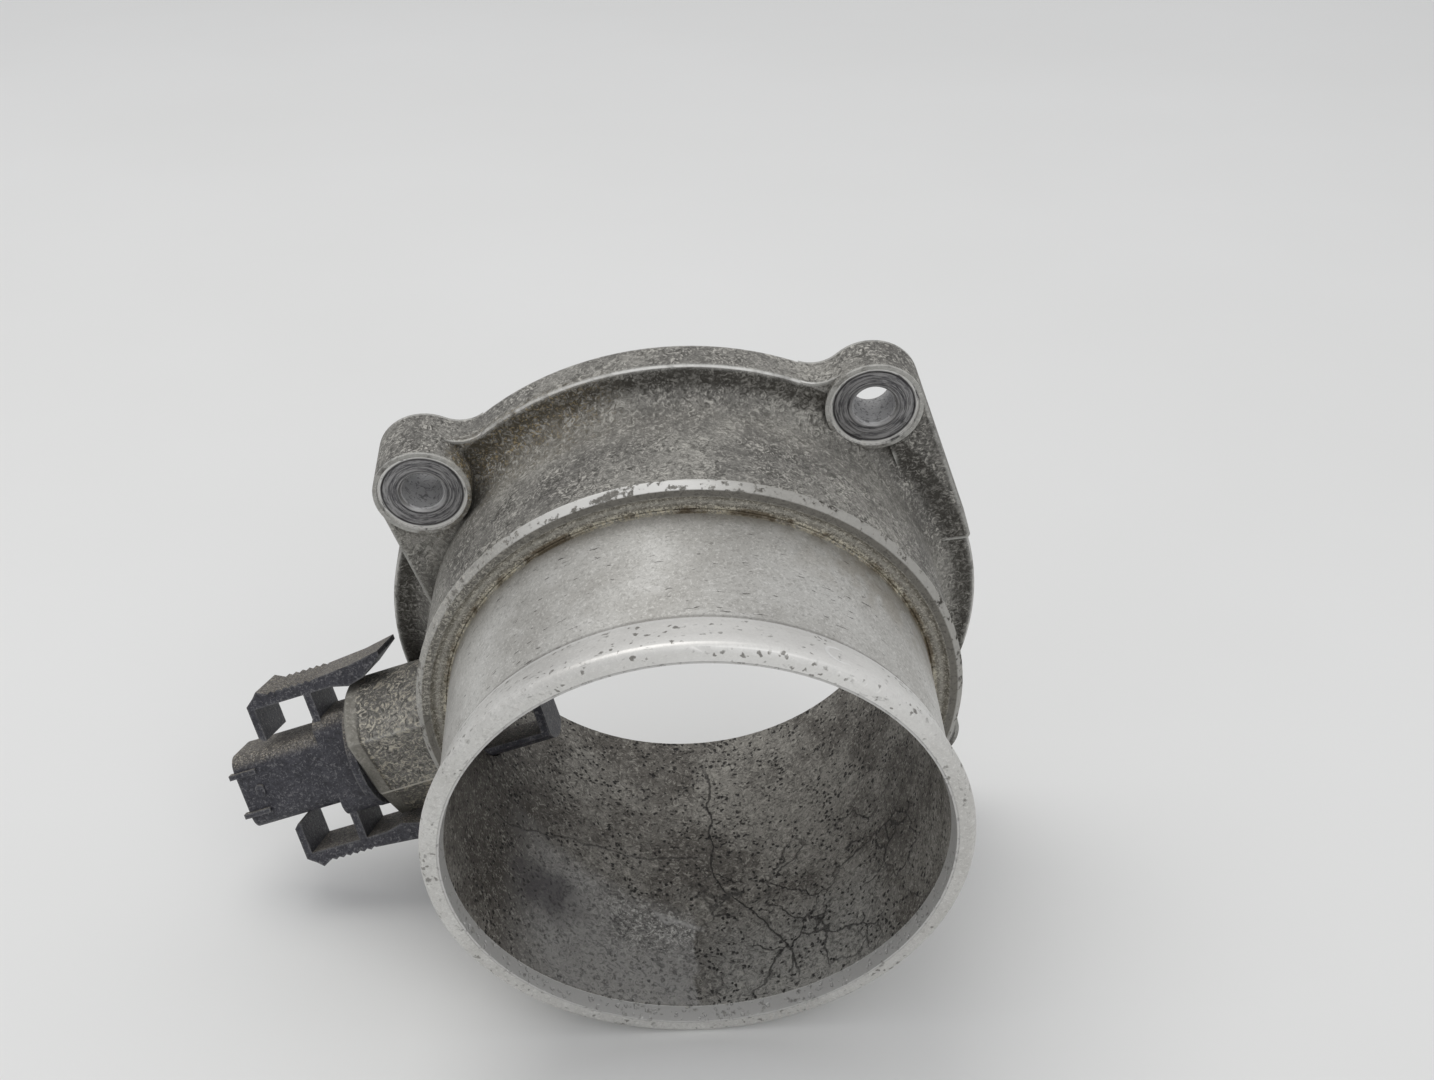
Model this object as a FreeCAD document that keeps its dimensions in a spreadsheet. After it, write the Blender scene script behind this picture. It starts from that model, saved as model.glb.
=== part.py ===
import FreeCAD, Part

import math
import os
import re
import Sketcher
from FreeCAD import Matrix, Placement, Rotation, Vector

# A cast intake pipe with its air temperature sensor, in millimetres.
# Every body is drawn about the duct: Z runs along it, from the machined rear face of the flange
# (zero) to the hose end, X is across and Y is up the flange. At the end the whole thing is leant
# over to lie as it does on a bench, on the hose bead and the flange rim.

SIZES = {
    # duct, from the spigot inward and outward
    "total_length": 65.8,
    "spigot_radius": 40.81,
    "mouth_wall": 0.95,
    "neck_wall": 1.46,
    "bore_taper": 0.68,
    "mouth_lead_in": 2.6,
    "rear_bore_break": 0.5,
    "bead_height": 2.19,
    "bead_nose": 1.3,
    "bead_length": 8.6,
    "bead_step": 0.35,
    "shoulder_height": 31.5,
    "shoulder_rise": 5.39,
    "shoulder_lip_width": 2.3,
    "shoulder_lip_depth": 0.6,
    "shoulder_break": 0.9,
    "shoulder_band": 0.45,
    "shoulder_step": 0.45,
    "body_front_inset": 0.3,
    "body_inset": 1.0,
    "root_fillet": 4.5,
    # flange and its four bolt ears
    "flange_width": 6.9,
    "flange_thickness": 6.66,
    "flange_edge_break": 0.5,
    "ear_stand_out": 1.9,
    "ear_first_angle": 54.2,
    "ear_radius": 8.2,
    "ear_blend": 6.0,
    "ear_root_depth": 7.0,
    "short_ear_height": 8.0,
    "long_ear_height": 11.9,
    "bolt_hole_radius": 3.5,
    "bolt_hole_break": 0.5,
    "spotface_radius": 7.5,
    "spotface_depth": 0.5,
    # webs beside the two upper ears
    "right_web_turn": 19.5,
    "right_web_length": 32.9,
    "right_web_height": 7.2,
    "right_web_end_turn": 186.3,
    "right_web_end_length": 8.0,
    "right_web_corner": 1.2,
    "left_web_turn": 197.4,
    "left_web_length": 28.0,
    "left_web_height": 11.0,
    "left_web_inner_angle": 147.0,
    # sensor boss on the casting
    "sensor_angle": 199.2,
    "sensor_height": 18.4,
    "boss_height": 14.8,
    "boss_radius": 13.0,
    "boss_half_depth": 9.0,
    "boss_facet_start": 2.7,
    "boss_facet_drop": 2.6,
    "boss_rim_break": 0.5,
    "sensor_hole_radius": 7.6,
    "sensor_hole_lead_in": 0.5,
    # sensor housing, which is turned about its own axis when it is pushed in
    "sensor_twist": 25.5,
    "stem_clearance": 0.12,
    "stem_length": 19.0,
    "stem_tip_break": 0.8,
    "collar_radius": 10.3,
    "collar_height": 1.5,
    "neck_height": 5.9,
    "neck_half_width": 9.4,
    "shroud_rise": 24.2,
    "shroud_half_width": 6.9,
    "shroud_half_depth": 6.2,
    "shroud_corner": 2.6,
    "shroud_wall": 1.2,
    "socket_depth": 14.0,
    "key_offset": 3.8,
    "key_length": 4.2,
    "key_overhang": 0.9,
    "key_width": 0.9,
    "key_height": 0.7,
    "nub_inset": 3.6,
    "nub_half_width": 1.2,
    "nub_half_length": 0.8,
    "nub_corner": 0.75,
    "nub_height": 0.4,
    # squeeze clips: distances inward from the outer end, and out from the sensor's axis
    "clip_rise": 17.8,
    "clip_half_depth": 5.2,
    "clip_hook_thickness": 1.3,
    "clip_hook_tip": 8.2,
    "clip_hook_tip_break": 0.8,
    "clip_shoulder": 15.0,
    "clip_bump_start": 1.6,
    "clip_bump_middle": 2.6,
    "clip_bump_height": 1.0,
    "grip_start": 4.6,
    "grip_pitch": 1.37,
    "grip_tooth": 0.4,
    "grip_face": 16.2,
    "clip_inner_face": 14.2,
    "clip_flare_start": 20.8,
    "clip_flare": 0.8,
    "clip_heel_distance": 19.3,
    "clip_heel_height": 0.8,
    "clip_heel_length": 3.2,
    "clip_tip_inward": 26.6,
    "clip_tip_out": 18.0,
    "clip_tip_thickness": 0.9,
    "clip_rib_distance": 10.8,
    "clip_rib_thickness": 1.4,
    "clip_rib_root": 8.0,
    # probe cage inside the bore
    "cage_length": 14.0,
    "cage_radius": 7.3,
    "cage_half_depth": 4.6,
    "cage_window_half_width": 4.8,
    "cage_end_wall": 1.6,
    # seal ring in its groove
    "seal_section_radius": 0.95,
    "seal_depth": 3.6,
    "seal_squeeze_gap": 0.05,
    # thermistor and its two wires
    "bead_probe_radius": 1.6,
    "bead_probe_length": 4.2,
    "bead_probe_flat": 1.1,
    "lead_length": 6.0,
    "lead_radius": 0.25,
    "lead_half_spacing": 0.6,
    # connector blades
    "blade_half_spacing": 2.2,
    "blade_width": 1.5,
    "blade_thickness": 0.64,
    "blade_root": 2.5,
    "blade_reach": 7.5,
    "blade_tip": 1.2,
    "blade_tip_width": 0.6,
    "blade_slot_clearance": 0.03,
    # how far a cut that goes right through runs past the faces
    "cut_overrun": 5.0,
}

# Radii from the duct's axis, and distances out along the sensor, that follow from the sizes.

PLACES = {
    "bore_front_radius": "spigot_radius - mouth_wall",
    "bore_neck_radius": "spigot_radius - neck_wall",
    "bore_rear_radius": "bore_neck_radius - bore_taper",
    "bead_radius": "spigot_radius + bead_height",
    "shoulder_radius": "spigot_radius + shoulder_rise",
    "body_front_radius": "shoulder_radius - body_front_inset",
    "body_radius": "shoulder_radius - body_inset",
    "flange_radius": "body_radius + flange_width",
    "ear_circle_radius": "flange_radius + ear_stand_out",
    "boss_reach": "body_radius + boss_height",
    "stem_inner_end": "boss_reach - stem_length",
    "cage_end": "stem_inner_end - cage_length",
    "seal_reach": "boss_reach - seal_depth",
    "collar_top": "boss_reach + collar_height",
    "shroud_foot": "collar_top + neck_height",
    "shroud_end": "boss_reach + shroud_rise",
    "socket_floor": "shroud_end - socket_depth",
    "clip_end": "boss_reach + clip_rise",
}

doc = FreeCAD.newDocument("intake_pipe")
sizes = doc.addObject("Spreadsheet::Sheet", "sizes")
for row, (name, value) in enumerate(SIZES.items(), start=1):
    sizes.set(f"A{row}", name)
    sizes.set(f"B{row}", str(value))
    sizes.setAlias(f"B{row}", name)
doc.recompute()


def bound(text):
    """The expression with every size pointing at its cell in the sheet and every place spelt out."""
    def spell(word):
        if word[0] in PLACES:
            return f"({bound(PLACES[word[0]])})"
        return f"sizes.{word[0]}" if word[0] in SIZES else word[0]

    return re.sub(r"[a-z_]+", spell, text)


def number(text):
    """What the expression comes to now, in millimetres or degrees."""
    value = sizes.evalExpression(bound(text))
    return float(getattr(value, "Value", value))


def minus(text):
    return f"-({text})"


# Sketch helpers. Every corner and radius in a sketch is an expression of the sheet's sizes.


def sketch_on(body, name, plane, lift="0", turn=None):
    """A sketch on one of the body's own origin planes, raised by lift along its normal.
    turn swings the YZ plane about Z, so that its normal points at that angle from +X."""
    drawing = body.newObject("Sketcher::SketchObject", name)
    origin_plane = next(f for f in body.Origin.OriginFeatures if f.Role == plane)
    drawing.AttachmentSupport = (origin_plane, "")
    drawing.MapMode = "FlatFace"
    if turn is not None:
        move = f"vector(({lift}) * sin({turn}); 0; ({lift}) * cos({turn}))"
        swing = f"rotation(vector(0; 1; 0); {turn})"
        drawing.setExpression("AttachmentOffset", bound(f"placement({move}; {swing})"))
    elif lift != "0":
        drawing.setExpression("AttachmentOffset.Base.z", bound(lift))
    return drawing


def pin_point(drawing, edge, end, x, y):
    """Hold one end of an edge at the coordinates that the two expressions give."""
    for kind, text in (("DistanceX", x), ("DistanceY", y)):
        index = drawing.addConstraint(Sketcher.Constraint(kind, -1, 1, edge, end, number(text)))
        drawing.setExpression(f"Constraints[{index}]", bound(text))


def outline(drawing, corners):
    """A closed outline. A corner is (x, y), or (x, y, radius, turn) where the edge that leaves it
    is an arc of that radius, turning left for turn = 1 and right for turn = -1."""
    points = [Vector(number(c[0]), number(c[1]), 0) for c in corners]
    starts, ends = [], []
    for i, corner in enumerate(corners):
        here, there = points[i], points[(i + 1) % len(points)]
        if len(corner) == 2:
            edge = drawing.addGeometry(Part.LineSegment(here, there), False)
            starts.append((edge, 1))
            ends.append((edge, 2))
            continue
        radius, turn = number(corner[2]), corner[3]
        chord = there - here
        rise = math.sqrt(max(radius * radius - chord.Length ** 2 / 4, 0))
        centre = (here + there) / 2 + Vector(-chord.y, chord.x, 0) / chord.Length * rise * turn
        first, last = (here, there) if turn > 0 else (there, here)
        angles = [math.atan2(p.y - centre.y, p.x - centre.x) for p in (first, last)]
        circle = Part.Circle(centre, Vector(0, 0, 1), radius)
        edge = drawing.addGeometry(Part.ArcOfCircle(circle, angles[0], angles[1]), False)
        starts.append((edge, 1 if turn > 0 else 2))
        ends.append((edge, 2 if turn > 0 else 1))
        index = drawing.addConstraint(Sketcher.Constraint("Radius", edge, radius))
        drawing.setExpression(f"Constraints[{index}]", bound(corner[2]))
    for i, corner in enumerate(corners):
        after = starts[(i + 1) % len(corners)]
        drawing.addConstraint(Sketcher.Constraint("Coincident", *ends[i], *after))
        pin_point(drawing, *starts[i], corner[0], corner[1])


def ring(drawing, x, y, radius):
    """A circle about the point that the two expressions give."""
    centre = Vector(number(x), number(y), 0)
    circle = Part.Circle(centre, Vector(0, 0, 1), number(radius))
    edge = drawing.addGeometry(circle, False)
    pin_point(drawing, edge, 3, x, y)
    index = drawing.addConstraint(Sketcher.Constraint("Radius", edge, number(radius)))
    drawing.setExpression(f"Constraints[{index}]", bound(radius))


def rounded_box(drawing, half_x, half_y, corner, x="0", y="0"):
    """A rectangle about (x, y) with round corners."""
    left, right = f"{x} - ({half_x})", f"{x} + ({half_x})"
    low, high = f"{y} - ({half_y})", f"{y} + ({half_y})"
    corner = f"({corner})"
    outline(drawing, [
        (f"{left} + {corner}", low), (f"{right} - {corner}", low, corner, 1),
        (right, f"{low} + {corner}"), (right, f"{high} - {corner}", corner, 1),
        (f"{right} - {corner}", high), (f"{left} + {corner}", high, corner, 1),
        (left, f"{high} - {corner}"), (left, f"{low} + {corner}", corner, 1),
    ])


def box(drawing, left, right, low, high):
    outline(drawing, [(left, low), (right, low), (right, high), (left, high)])


# Feature helpers. Places closer than SAME_PLACE are one place, and so for volumes.

SAME_PLACE = 1e-4
SAME_VOLUME = 1e-6


def grow(body, kind, name, drawing, length, both_ways=False, reverse=False):
    """Pad or Pocket a sketch. The build stops if the body's volume doesn't change."""
    before = body.Shape.Volume if body.Tip else 0.0
    feature = body.newObject(f"PartDesign::{kind}", name)
    feature.Profile = drawing
    feature.SideType = "Symmetric" if both_ways else "One side"
    feature.Reversed = reverse
    feature.setExpression("Length", bound(length))
    return changed(body, feature, before)


def spin(body, kind, name, drawing, axis="V_Axis"):
    """Revolution or Groove of a sketch, all the way round one of its axes."""
    before = body.Shape.Volume if body.Tip else 0.0
    feature = body.newObject(f"PartDesign::{kind}", name)
    feature.Profile = drawing
    feature.ReferenceAxis = (drawing, [axis])
    feature.Angle = 360
    return changed(body, feature, before)


def break_edges(body, kind, name, size, chosen):
    """Chamfer or Fillet the edges of the tip that the test picks."""
    before = body.Shape.Volume
    base = body.Tip
    names = [f"Edge{i}" for i, edge in enumerate(base.Shape.Edges, start=1) if chosen(edge)]
    if not names:
        raise RuntimeError(f"{name}: no edge was chosen")
    feature = body.newObject(f"PartDesign::{kind}", name)
    feature.Base = (base, names)
    feature.setExpression("Radius" if kind == "Fillet" else "Size", bound(size))
    return changed(body, feature, before)


def changed(body, feature, before):
    doc.recompute()
    if abs(body.Shape.Volume - before) < SAME_VOLUME:
        raise RuntimeError(f"{feature.Name} changed nothing")
    return feature


def circle_at(edge, radius, test):
    """True for a round edge of this radius whose centre passes the test."""
    if not isinstance(edge.Curve, Part.Circle):
        return False
    return abs(edge.Curve.Radius - radius) < SAME_PLACE and test(edge.Curve.Center)


def new_body(name):
    body = doc.addObject("PartDesign::Body", name)
    body.Label = name
    return body


# Pipe casting: spigot, shoulder and body turned about the duct, in one piece with the flange.

casting = new_body("pipe_casting")

drawing = sketch_on(casting, "wall_outline", "XZ_Plane")
body_root = "flange_thickness + root_fillet"
band_foot = "shoulder_height - shoulder_break - shoulder_band"
lip_floor = "shoulder_height - shoulder_lip_depth"
bead_end = "total_length - bead_length"
outline(drawing, [
    ("0", "0"),
    ("flange_radius - flange_edge_break", "0"),
    ("flange_radius", "flange_edge_break"),
    ("flange_radius", "flange_thickness - flange_edge_break"),
    ("flange_radius - flange_edge_break", "flange_thickness"),
    ("body_radius + root_fillet", "flange_thickness", "root_fillet", -1),
    ("body_radius", body_root),
    ("body_front_radius", f"{band_foot} - shoulder_step"),
    ("shoulder_radius", band_foot),
    ("shoulder_radius", "shoulder_height - shoulder_break"),
    ("shoulder_radius - shoulder_break", "shoulder_height"),
    ("shoulder_radius - shoulder_lip_width", "shoulder_height"),
    ("shoulder_radius - shoulder_lip_width - shoulder_lip_depth", lip_floor),
    ("spigot_radius", lip_floor),
    ("spigot_radius", f"{bead_end} - bead_step"),
    ("spigot_radius + bead_step", bead_end),
    ("bead_radius", "total_length - bead_nose", "bead_nose", 1),
    ("bead_radius - bead_nose", "total_length"),
    ("0", "total_length"),
])
spin(casting, "Revolution", "wall", drawing)


def ear_angle(index):
    return f"(ear_first_angle + {90 * index})"


def ear_centre(index):
    angle = ear_angle(index)
    return f"ear_circle_radius * cos({angle})", f"ear_circle_radius * sin({angle})"


def ear_points(index):
    """Where an ear's outline meets the rim and turns: rim, side, tip, side, rim, and inner end."""
    angle = ear_angle(index)
    far, near = "(flange_radius + ear_blend)", "(ear_radius + ear_blend)"
    spread = (f"acos(({far} * {far} + ear_circle_radius * ear_circle_radius - {near} * {near})"
              f" / (2 * ear_circle_radius * {far})) / 1 deg")

    def on_rim(sign):
        side = f"({angle} {sign} ({spread}))"
        return f"flange_radius * cos({side})", f"flange_radius * sin({side})"

    def on_side(sign):
        side = f"({angle} {sign} ({spread}))"
        share = f"ear_radius / {near}"
        return tuple(f"{c} + {share} * ({far} * {way}({side}) - {c})"
                     for c, way in zip(ear_centre(index), ("cos", "sin")))

    def on_middle(sign):
        reach = f"(ear_circle_radius {sign} ear_radius)"
        return f"{reach} * cos({angle})", f"{reach} * sin({angle})"

    return on_rim("-"), on_side("-"), on_middle("+"), on_side("+"), on_rim("+"), on_middle("-")


def ear_plate(index):
    """Outline of an ear in the flange: round end, and a hollow blend into the rim on each side."""
    rim, side, tip, other_side, other_rim, _ = ear_points(index)
    angle = ear_angle(index)
    root = "(flange_radius - ear_root_depth)"
    return [
        (f"{root} * cos({angle})", f"{root} * sin({angle})"),
        (*rim, "ear_blend", -1),
        (*side, "ear_radius", 1),
        (*tip, "ear_radius", 1),
        (*other_side, "ear_blend", -1),
        other_rim,
    ]


def ear_boss(index):
    """Outline of the round boss that stands flush on the ear's end."""
    _, side, tip, other_side, _, inner = ear_points(index)
    return [(*corner, "ear_radius", 1) for corner in (side, tip, other_side, inner)]


# From the upper right ear round to the lower right one. Only the upper two have a boss, so the
# lower left one clears the bench.

EAR_HEIGHTS = ("short_ear_height", "long_ear_height", "flange_thickness", "flange_thickness")
LONG_EAR = EAR_HEIGHTS.index("long_ear_height")
for index, height in enumerate(EAR_HEIGHTS):
    drawing = sketch_on(casting, f"ear_{index}_plate_outline", "XY_Plane")
    outline(drawing, ear_plate(index))
    grow(casting, "Pad", f"ear_{index}_plate", drawing, "flange_thickness")
    if height != "flange_thickness":
        drawing = sketch_on(casting, f"ear_{index}_boss_outline", "XY_Plane")
        outline(drawing, ear_boss(index))
        grow(casting, "Pad", f"ear_{index}_boss", drawing, height)

# Right web: a flat cheek that runs off the upper right ear and stops at a step in the rim.


def off_ear(index, turn, along):
    """A point on the line that touches the ear's end at the angle turn, that far clockwise of it
    for a negative length and the other way for a positive one."""
    x, y = ear_centre(index)
    return (f"{x} + ear_radius * cos({turn}) - ({along}) * sin({turn})",
            f"{y} + ear_radius * sin({turn}) + ({along}) * cos({turn})")


def right_web_end(inward):
    """A point on the web's end face, that far in from its corner."""
    x, y = off_ear(0, "right_web_turn", "-right_web_length")
    return (f"{x} + {inward} * cos(right_web_end_turn)",
            f"{y} + {inward} * sin(right_web_end_turn)")


drawing = sketch_on(casting, "right_web_outline", "XY_Plane")
end_opening = "(right_web_end_turn - right_web_turn - 90)"
outline(drawing, [
    ear_centre(0),
    right_web_end("right_web_end_length"),
    (*right_web_end("right_web_corner"), f"right_web_corner * tan({end_opening} / 2)", 1),
    off_ear(0, "right_web_turn", "right_web_corner - right_web_length"),
    off_ear(0, "right_web_turn", "0"),
])
grow(casting, "Pad", "right_web", drawing, "right_web_height")

# Left web: a thicker cheek from the long upper left ear straight down to the body.

drawing = sketch_on(casting, "left_web_outline", "XY_Plane")
outline(drawing, [
    ear_centre(LONG_EAR),
    off_ear(LONG_EAR, "left_web_turn", "0"),
    off_ear(LONG_EAR, "left_web_turn", "left_web_length"),
    ("bore_front_radius * cos(left_web_inner_angle)",
     "bore_front_radius * sin(left_web_inner_angle)"),
])
grow(casting, "Pad", "left_web", drawing, "left_web_height")

# Sensor boss: a round boss with flats at its front and back, and a slanted lower front facet.

drawing = sketch_on(casting, "sensor_boss_outline", "YZ_Plane", turn="sensor_angle")
boss_low = "sensor_height - boss_half_depth"
boss_high = "sensor_height + boss_half_depth"
boss_flat = "sqrt(boss_radius * boss_radius - boss_half_depth * boss_half_depth)"
facet_depth = "(boss_half_depth - boss_facet_drop)"
outline(drawing, [
    (minus(boss_flat), boss_low),
    (boss_flat, boss_low, "boss_radius", 1),
    (f"sqrt(boss_radius * boss_radius - {facet_depth} * {facet_depth})",
     f"sensor_height + {facet_depth}"),
    ("boss_facet_start", boss_high),
    (minus(boss_flat), boss_high, "boss_radius", 1),
])
grow(casting, "Pad", "sensor_boss", drawing, "boss_reach")


def sensor_axis():
    angle = math.radians(SIZES["sensor_angle"])
    return Vector(math.cos(angle), math.sin(angle), 0)


def at_boss_face(point):
    return abs(point.dot(sensor_axis()) - number("boss_reach")) < SAME_PLACE


break_edges(casting, "Chamfer", "boss_rim_chamfer", "boss_rim_break",
            lambda edge: all(at_boss_face(v.Point) for v in edge.Vertexes))

# The duct, with a machined lead-in at the hose end and a slight taper down to the flange.

drawing = sketch_on(casting, "bore_outline", "XZ_Plane")
outline(drawing, [
    ("0", "-cut_overrun"),
    ("bore_rear_radius + rear_bore_break", "-cut_overrun"),
    ("bore_rear_radius + rear_bore_break", "0"),
    ("bore_rear_radius", "rear_bore_break"),
    ("bore_neck_radius", "total_length - mouth_lead_in"),
    ("bore_front_radius", "total_length"),
    ("bore_front_radius", "total_length + cut_overrun"),
    ("0", "total_length + cut_overrun"),
])
spin(casting, "Groove", "bore", drawing)

drawing = sketch_on(casting, "sensor_hole_outline", "YZ_Plane", turn="sensor_angle")
ring(drawing, "0", "sensor_height", "sensor_hole_radius")
grow(casting, "Pocket", "sensor_hole", drawing, "boss_reach + cut_overrun", reverse=True)
break_edges(casting, "Chamfer", "sensor_hole_lead", "sensor_hole_lead_in",
            lambda edge: circle_at(edge, SIZES["sensor_hole_radius"], at_boss_face))

# Bolt holes, each with a machined seat on top of its ear.

for index, height in enumerate(EAR_HEIGHTS):
    drawing = sketch_on(casting, f"ear_{index}_seat_outline", "XY_Plane", lift=height)
    ring(drawing, *ear_centre(index), "spotface_radius")
    grow(casting, "Pocket", f"ear_{index}_seat", drawing, "spotface_depth")
    drawing = sketch_on(casting, f"ear_{index}_hole_outline", "XY_Plane", lift=height)
    ring(drawing, *ear_centre(index), "bolt_hole_radius")
    grow(casting, "Pocket", f"ear_{index}_hole", drawing, height)
break_edges(casting, "Chamfer", "bolt_hole_chamfers", "bolt_hole_break", lambda edge: circle_at(
    edge, SIZES["bolt_hole_radius"], lambda c: c.z > SIZES["bolt_hole_break"]))

# Sensor housing: one moulding, drawn about its own axis. Z is the distance from the duct's axis,
# X points up along the flange and Y points back at the flange.

housing = new_body("sensor_housing")

drawing = sketch_on(housing, "stem_outline", "XZ_Plane")
stem = "(sensor_hole_radius - stem_clearance)"
groove = "(sensor_hole_radius - seal_squeeze_gap - 2 * seal_section_radius - seal_squeeze_gap)"
groove_half = "(seal_section_radius + seal_squeeze_gap)"
outline(drawing, [
    ("0", "stem_inner_end"),
    (f"{stem} - stem_tip_break", "stem_inner_end"),
    (stem, "stem_inner_end + stem_tip_break"),
    (stem, f"seal_reach - {groove_half}"),
    (groove, f"seal_reach - {groove_half}"),
    (groove, f"seal_reach + {groove_half}"),
    (stem, f"seal_reach + {groove_half}"),
    (stem, "boss_reach"),
    ("0", "boss_reach"),
])
spin(housing, "Revolution", "stem", drawing)

drawing = sketch_on(housing, "collar_outline", "XY_Plane", lift="boss_reach")
ring(drawing, "0", "0", "collar_radius")
grow(housing, "Pad", "collar", drawing, "collar_height")

drawing = sketch_on(housing, "neck_outline", "XY_Plane", lift="collar_top")
rounded_box(drawing, "neck_half_width", "shroud_half_depth", "shroud_corner")
grow(housing, "Pad", "neck", drawing, "neck_height")

drawing = sketch_on(housing, "shroud_outline", "XY_Plane", lift="shroud_foot")
rounded_box(drawing, "shroud_half_width", "shroud_half_depth", "shroud_corner")
grow(housing, "Pad", "shroud", drawing, "shroud_end - shroud_foot")

drawing = sketch_on(housing, "socket_outline", "XY_Plane", lift="shroud_end")
rounded_box(drawing, "shroud_half_width - shroud_wall", "shroud_half_depth - shroud_wall",
            "shroud_corner - shroud_wall")
grow(housing, "Pocket", "socket", drawing, "socket_depth")

# Two keying ribs on the front of the shroud, standing a little past its end, and an oval nub.

drawing = sketch_on(housing, "key_outline", "XY_Plane", lift="shroud_end - key_length")
key_back = minus("shroud_half_depth - shroud_wall / 2")
key_front = minus("shroud_half_depth + key_height")
key_near, key_far = "key_offset - key_width / 2", "key_offset + key_width / 2"
box(drawing, key_near, key_far, key_front, key_back)
box(drawing, minus(key_far), minus(key_near), key_front, key_back)
grow(housing, "Pad", "keys", drawing, "key_length + key_overhang")

drawing = sketch_on(housing, "nub_outline", "XZ_Plane", lift="shroud_half_depth - shroud_wall / 2")
rounded_box(drawing, "nub_half_width", "nub_half_length", "nub_corner",
            y="(shroud_end - nub_inset)")
grow(housing, "Pad", "nub", drawing, "shroud_wall / 2 + nub_height")

# Squeeze clips: a gripped arm on each side that pivots on a rib, with a hook at the outer end and
# a flared tip beside the boss at the inner end.

GRIP_TEETH = 6


def clip_outline(side):
    """The whole clip from the front: hook, shoulder, bump, grip teeth, flared tip and rib."""
    grip_end = f"(grip_start + {GRIP_TEETH} * grip_pitch)"
    rib_far = "clip_rib_distance + clip_rib_thickness"
    path = [
        ("clip_hook_tip_break", "clip_hook_tip"),
        ("0", "clip_hook_tip + clip_hook_tip_break"),
        ("0", "clip_shoulder"),
        ("clip_bump_start", "grip_face"),
        ("clip_bump_middle", "grip_face + clip_bump_height"),
        ("grip_start", "grip_face"),
    ]
    for tooth in range(GRIP_TEETH):
        path.append((f"grip_start + {tooth + 0.5} * grip_pitch", "grip_face + grip_tooth"))
        path.append((f"grip_start + {tooth + 1} * grip_pitch", "grip_face"))
    path += [
        (f"{grip_end} + grip_tooth", "grip_face + grip_tooth / 2"),
        ("clip_flare_start", "grip_face + clip_flare"),
        ("clip_tip_inward", "clip_tip_out"),
        ("clip_tip_inward", "clip_tip_out - clip_tip_thickness"),
        ("clip_heel_distance + clip_heel_length", "clip_inner_face"),
        ("clip_heel_distance", "clip_inner_face - clip_heel_height"),
        ("clip_heel_distance - clip_heel_length", "clip_inner_face"),
        (rib_far, "clip_inner_face"),
        (rib_far, "clip_rib_root"),
        ("clip_rib_distance", "clip_rib_root"),
        ("clip_rib_distance", "clip_inner_face"),
        ("clip_hook_thickness", "clip_inner_face"),
        ("clip_hook_thickness", "clip_hook_tip"),
    ]
    if side > 0:
        path.reverse()
    return [(f"{side} * ({out})", f"clip_end - ({inward})") for inward, out in path]


for name, side in (("upper_clip", 1), ("lower_clip", -1)):
    drawing = sketch_on(housing, f"{name}_outline", "XZ_Plane")
    outline(drawing, clip_outline(side))
    grow(housing, "Pad", name, drawing, "2 * clip_half_depth", both_ways=True)

# The cage that guards the thermistor in the air stream: a round probe with flat front and back,
# and a window right through it.

drawing = sketch_on(housing, "cage_outline", "XY_Plane", lift="cage_end")
cage_flat = "sqrt(cage_radius * cage_radius - cage_half_depth * cage_half_depth)"
outline(drawing, [
    (minus(cage_flat), "-cage_half_depth"),
    (cage_flat, "-cage_half_depth", "cage_radius", 1),
    (cage_flat, "cage_half_depth"),
    (minus(cage_flat), "cage_half_depth", "cage_radius", 1),
])
grow(housing, "Pad", "cage", drawing, "stem_inner_end + stem_tip_break - cage_end")

drawing = sketch_on(housing, "cage_window_outline", "XZ_Plane")
box(drawing, "-cage_window_half_width", "cage_window_half_width",
    "cage_end + cage_end_wall", "stem_inner_end")
grow(housing, "Pocket", "cage_window", drawing, "2 * (cage_half_depth + cut_overrun)",
     both_ways=True)

# Slots in the socket's floor that the two blades are pressed into.

drawing = sketch_on(housing, "blade_slots_outline", "XY_Plane", lift="socket_floor")
slot_half = "(blade_width / 2 + blade_slot_clearance)"
slot_deep = "(blade_thickness / 2 + blade_slot_clearance)"
for sign in (-1, 1):
    middle = f"({sign} * blade_half_spacing)"
    box(drawing, f"{middle} - {slot_half}", f"{middle} + {slot_half}",
        minus(slot_deep), slot_deep)
grow(housing, "Pocket", "blade_slots", drawing, "blade_root")

# Seal ring round the stem.

seal = new_body("sensor_seal")
drawing = sketch_on(seal, "seal_outline", "XZ_Plane")
ring(drawing, "sensor_hole_radius - seal_squeeze_gap - seal_section_radius", "seal_reach",
     "seal_section_radius")
spin(seal, "Revolution", "seal_ring", drawing)

# Two flat connector blades with tapered tips, standing in their slots.

blades = []
for name, sign in (("terminal_upper", 1), ("terminal_lower", -1)):
    blade = new_body(name)
    middle = f"{sign} * blade_half_spacing"
    foot = "socket_floor - blade_root"
    top = "socket_floor + blade_reach"
    drawing = sketch_on(blade, f"{name}_outline", "XZ_Plane")
    outline(drawing, [
        (f"{middle} - blade_width / 2", foot),
        (f"{middle} + blade_width / 2", foot),
        (f"{middle} + blade_width / 2", f"{top} - blade_tip"),
        (f"{middle} + blade_tip_width / 2", top),
        (f"{middle} - blade_tip_width / 2", top),
        (f"{middle} - blade_width / 2", f"{top} - blade_tip"),
    ])
    grow(blade, "Pad", f"{name}_blade", drawing, "blade_thickness", both_ways=True)
    blades.append(blade)

# Thermistor: a bead on two stiff wires in the middle of the cage.

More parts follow.
